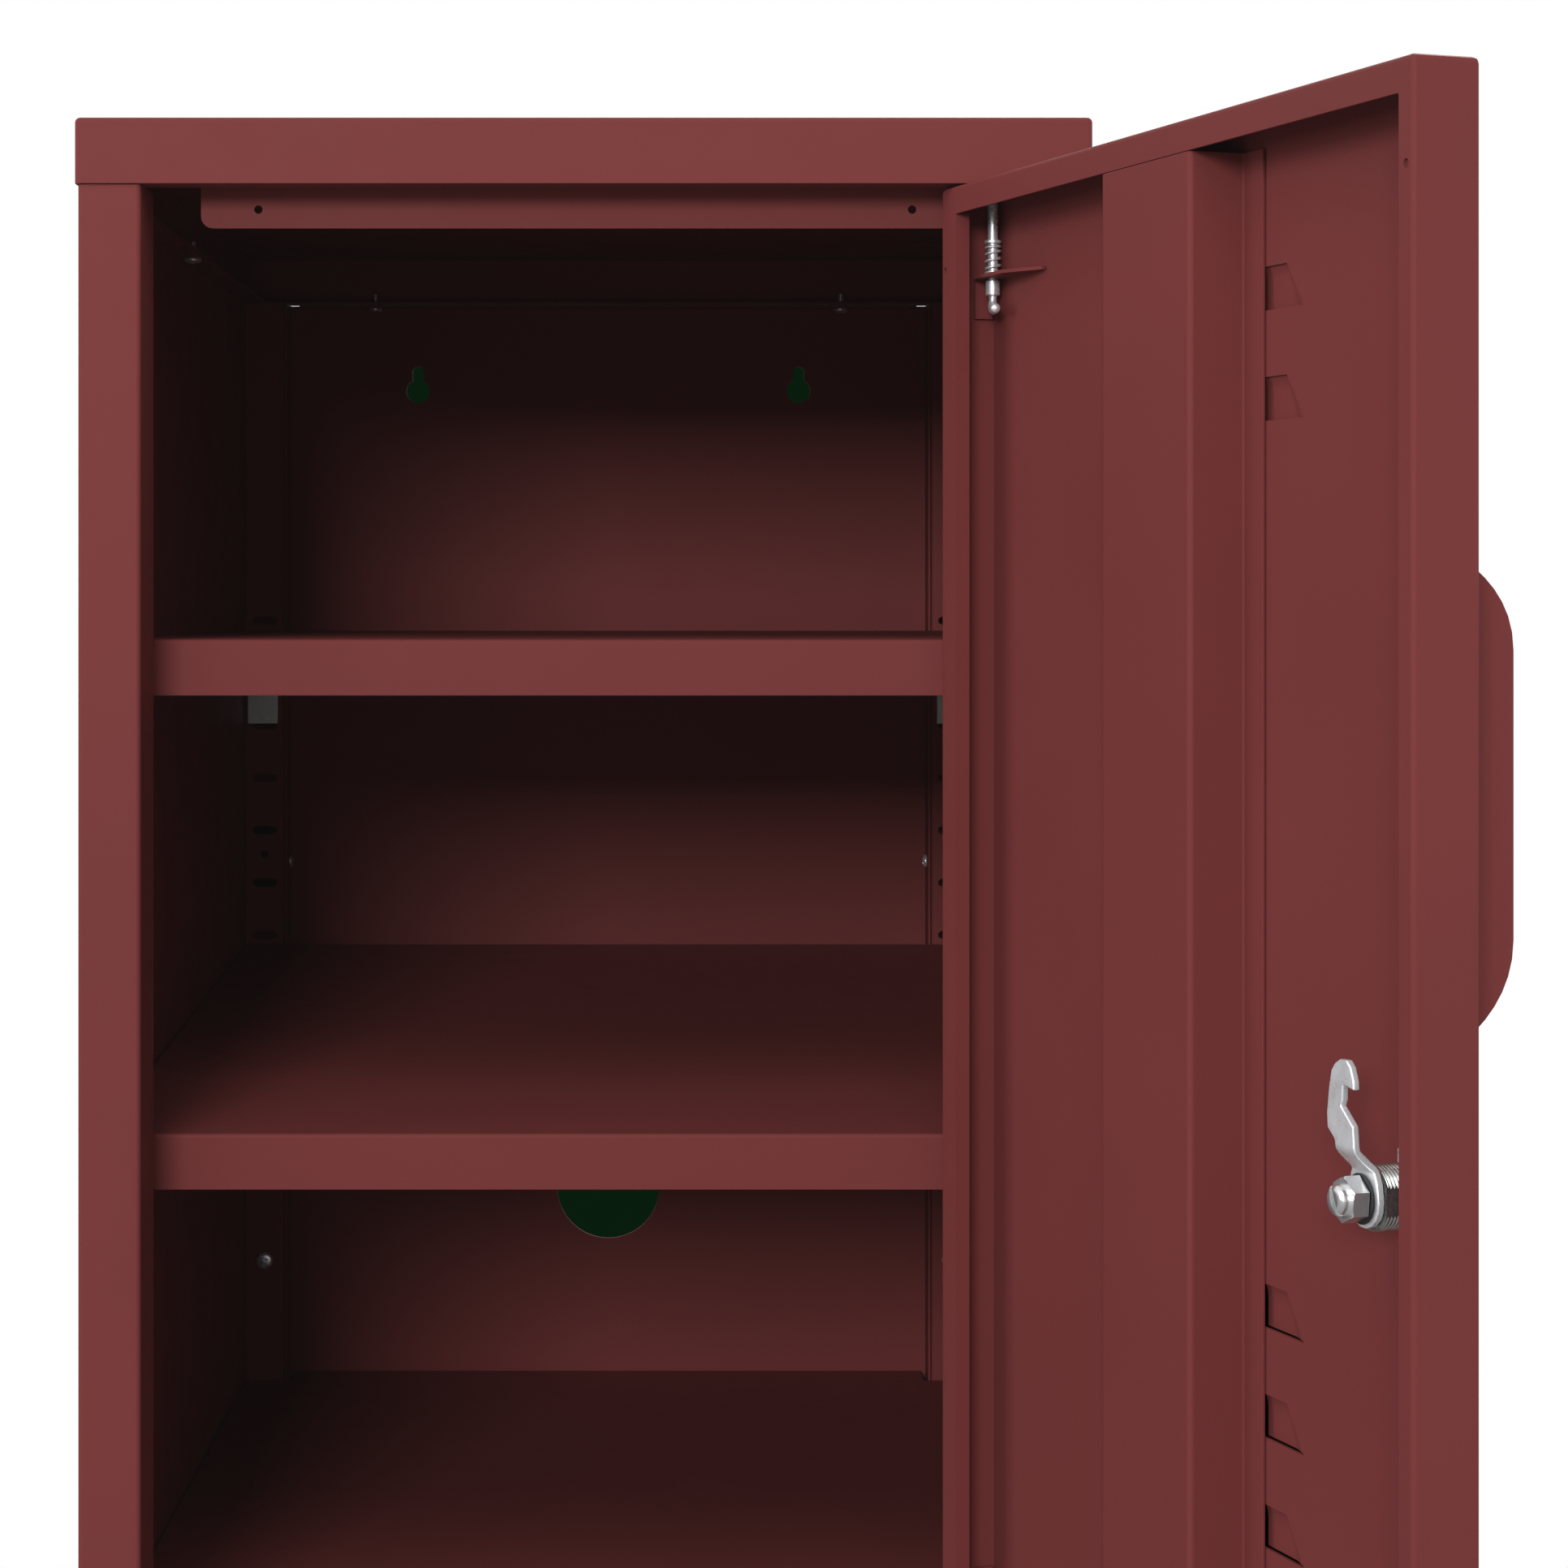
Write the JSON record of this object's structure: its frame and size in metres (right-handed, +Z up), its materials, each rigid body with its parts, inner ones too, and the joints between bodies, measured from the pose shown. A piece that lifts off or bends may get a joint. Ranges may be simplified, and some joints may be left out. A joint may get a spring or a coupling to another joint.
{
  "type": "single-door school locker",
  "caption": "Compact single-door sheet-steel school locker on tapered legs, with an inset louvred door, a cam lock, a pull tab and lift-out shelves.",
  "frame": {"origin": "on the floor, at the middle of the footprint of the locker with its door open, as at rest; the body's own middle is at x = -0.0410 m and its front at y = -0.0932 m", "axes": "+Z up; +X to the right of a person who faces the door; +Y from the door into the locker"},
  "size_m": [0.432, 0.7356, 0.725],
  "materials": {
    "burgundy_paint": "satin powder coat, fine orange peel",
    "zinc_steel": "bright zinc plate, slightly dulled",
    "clip_steel": "dull pressed zinc-plated steel",
    "chrome": "polished nickel-chrome plate",
    "black_plastic": "matt moulded"
  },
  "bodies": {
    "cabinet": {"top_cover": "burgundy_paint", "base_pan": "burgundy_paint", "door_stop_rail": "burgundy_paint", "left_side_panel": "burgundy_paint", "right_side_panel": "burgundy_paint", "back_panel": "burgundy_paint", "floor_panel": "burgundy_paint", "upper_shelf_clip_front_left": "clip_steel", "upper_shelf_clip_front_right": "clip_steel", "upper_shelf_clip_rear_left": "clip_steel", "upper_shelf_clip_rear_right": "clip_steel", "lower_shelf_clip_front_left": "clip_steel", "lower_shelf_clip_front_right": "clip_steel", "lower_shelf_clip_rear_left": "clip_steel", "lower_shelf_clip_rear_right": "clip_steel", "cover_screw_left": "zinc_steel", "cover_screw_back_left": "zinc_steel", "back_screw_left": "zinc_steel", "post_screw_left": "zinc_steel", "base_screw_left": "zinc_steel", "cover_screw_right": "zinc_steel", "cover_screw_back_right": "zinc_steel", "back_screw_right": "zinc_steel", "post_screw_right": "zinc_steel", "base_screw_right": "zinc_steel", "leg_front_left": "burgundy_paint", "foot_glide_front_left": "black_plastic", "leg_bolt_front_left": "zinc_steel", "leg_rear_left": "burgundy_paint", "foot_glide_rear_left": "black_plastic", "leg_bolt_rear_left": "zinc_steel", "leg_front_right": "burgundy_paint", "foot_glide_front_right": "black_plastic", "leg_bolt_front_right": "zinc_steel", "leg_rear_right": "burgundy_paint", "foot_glide_rear_right": "black_plastic", "leg_bolt_rear_right": "zinc_steel"},
    "upper_shelf": {"upper_shelf": "burgundy_paint"},
    "lower_shelf": {"lower_shelf": "burgundy_paint"},
    "door": {"door_panel": "burgundy_paint", "door_stiffener": "burgundy_paint", "door_handle": "burgundy_paint", "upper_hinge_bracket": "burgundy_paint", "lower_hinge_bracket": "burgundy_paint", "handle_screw_upper": "zinc_steel", "handle_screw_lower": "zinc_steel", "lower_hinge_pin": "zinc_steel", "lock_clip": "zinc_steel", "lock_barrel": "chrome"},
    "hinge_pin": {"upper_hinge_pin": "zinc_steel", "upper_hinge_spring": "chrome"},
    "lock_cam": {"lock_plug": "chrome", "lock_cam": "chrome", "cam_washer": "black_plastic", "cam_screw": "chrome"}
  },
  "joints": [
    {"name": "door_hinge", "type": "hinge", "parent": "cabinet", "child": "door", "pos_m": [0.10022, -0.08806, 0.44], "axis": [0, 0, 1], "range_deg": [-109.3, 20]},
    {"name": "cam_turn", "type": "hinge", "parent": "door", "child": "lock_cam", "pos_m": [0.18358, -0.34092, 0.3985], "axis": [-0.9438, -0.3305, 0], "range_deg": [-90, 0]},
    {"name": "hinge_pin_pull", "type": "slide", "parent": "door", "child": "hinge_pin", "axis": [0, 0, 1], "range_m": [-0.0065, 0], "stiffness_N_per_m": 400, "springref_m": 0.002, "deforming": ["upper_hinge_spring"]},
    {"name": "upper_shelf_lift", "type": "slide", "parent": "cabinet", "child": "upper_shelf", "axis": [0, 0, 1], "range_m": [0, 0.02]},
    {"name": "lower_shelf_lift", "type": "slide", "parent": "cabinet", "child": "lower_shelf", "axis": [0, 0, 1], "range_m": [0, 0.02]}
  ]
}
